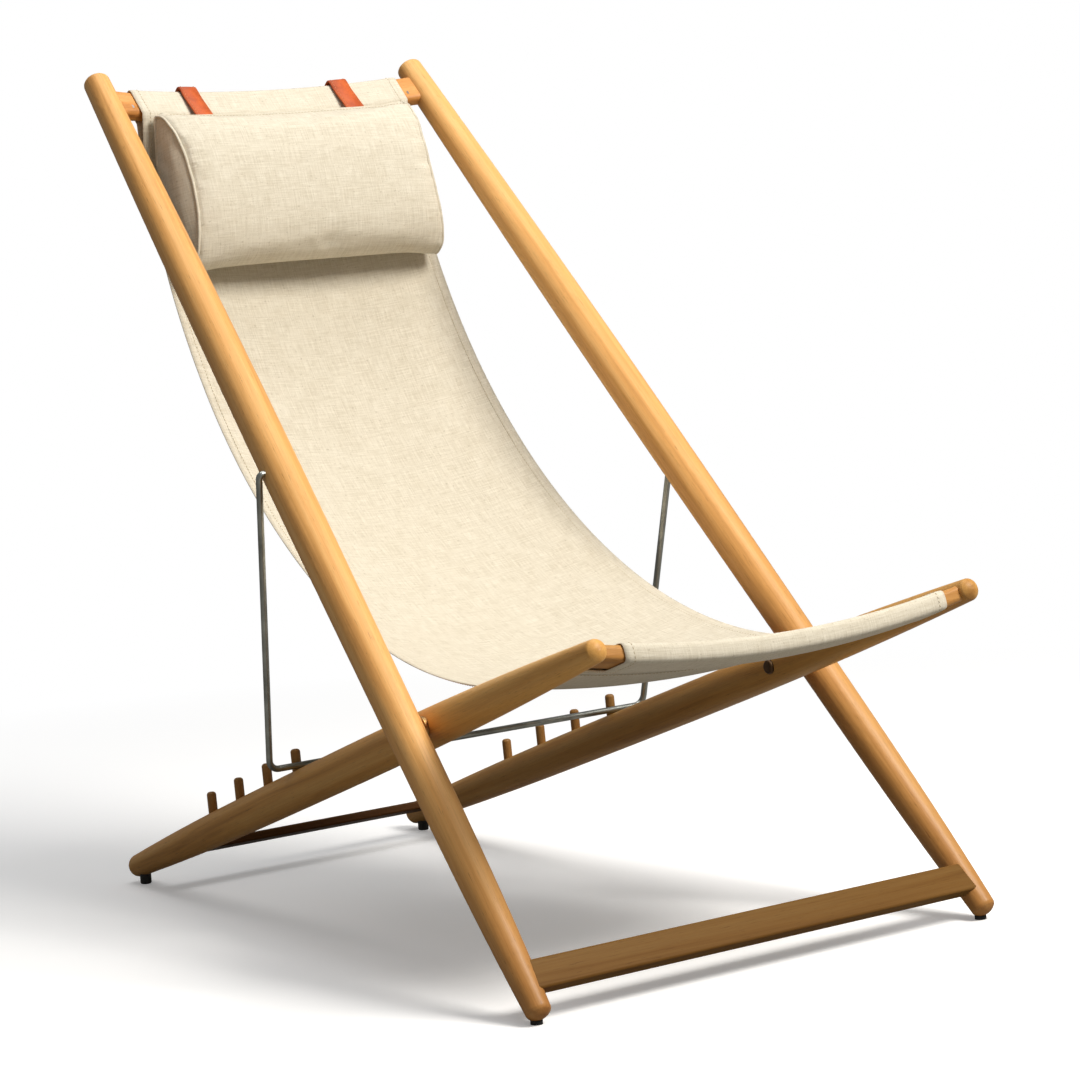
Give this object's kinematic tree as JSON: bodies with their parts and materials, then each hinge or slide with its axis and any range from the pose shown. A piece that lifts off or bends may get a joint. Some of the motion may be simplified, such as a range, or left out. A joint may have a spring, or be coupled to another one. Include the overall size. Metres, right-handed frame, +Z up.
{
  "type": "folding deck chair",
  "caption": "Folding deck chair: two crossed frames of turned wood, a linen sling with head pillow, and a steel bail on pegs.",
  "frame": {"origin": "middle of the footprint, on the floor", "axes": "+Z up, the chair faces -Y, +X to the right of someone who looks along +Y"},
  "size_m": [0.5854, 1.0026, 0.9306],
  "materials": {
    "oiled_wood": "oiled teak, satin",
    "dark_wood": "oiled teak, darker board",
    "sling_linen": "undyed linen canvas, slubby plain weave",
    "pillow_linen": "undyed linen, slubby plain weave",
    "pillow_filling": "white wadding",
    "strap_leather": "vegetable tanned, waxed",
    "bail_steel": "zinc plated rod",
    "steel_screws": "stainless",
    "browned_steel": "browned steel",
    "brass": "satin brass",
    "rubber_feet": "matt black rubber"
  },
  "bodies": {
    "back_frame": {"left_back_leg": "oiled_wood", "left_front_glide": "rubber_feet", "left_pivot_bolt": "browned_steel", "left_pivot_insert": "brass", "left_pivot_washer": "brass", "left_strap": "strap_leather", "left_strap_stud": "brass", "left_rail_screw": "steel_screws", "right_back_leg": "oiled_wood", "right_front_glide": "rubber_feet", "right_pivot_bolt": "browned_steel", "right_pivot_insert": "brass", "right_pivot_washer": "brass", "right_strap": "strap_leather", "right_strap_stud": "brass", "right_rail_screw": "steel_screws", "top_rail": "oiled_wood", "front_stretcher": "oiled_wood", "sling": "sling_linen", "pillow_cover": "pillow_linen", "pillow_filling": "pillow_filling"},
    "seat_frame": {"left_seat_leg": "oiled_wood", "left_rear_foot": "rubber_feet", "left_peg_1": "oiled_wood", "left_peg_2": "oiled_wood", "left_peg_3": "oiled_wood", "left_peg_4": "oiled_wood", "right_seat_leg": "oiled_wood", "right_rear_foot": "rubber_feet", "right_peg_1": "oiled_wood", "right_peg_2": "oiled_wood", "right_peg_3": "oiled_wood", "right_peg_4": "oiled_wood", "front_rail": "oiled_wood", "rear_stretcher": "dark_wood"},
    "prop_bail": {"prop_bail": "bail_steel"}
  },
  "joints": [
    {"name": "seat_fold", "type": "hinge", "parent": "back_frame", "child": "seat_frame", "pos_m": [0, -0.20702, 0.25475], "axis": [-1, 0, 0], "range_deg": [0, 98], "deforming": ["sling"]},
    {"name": "bail_swing", "type": "hinge", "parent": "back_frame", "child": "prop_bail", "pos_m": [0, 0.02367, 0.50041], "axis": [-1, 0, 0], "range_deg": [0, 30]}
  ],
  "couplings": [
    {"joint": "bail_swing", "follows": "seat_fold", "ratio": 0.3}
  ]
}
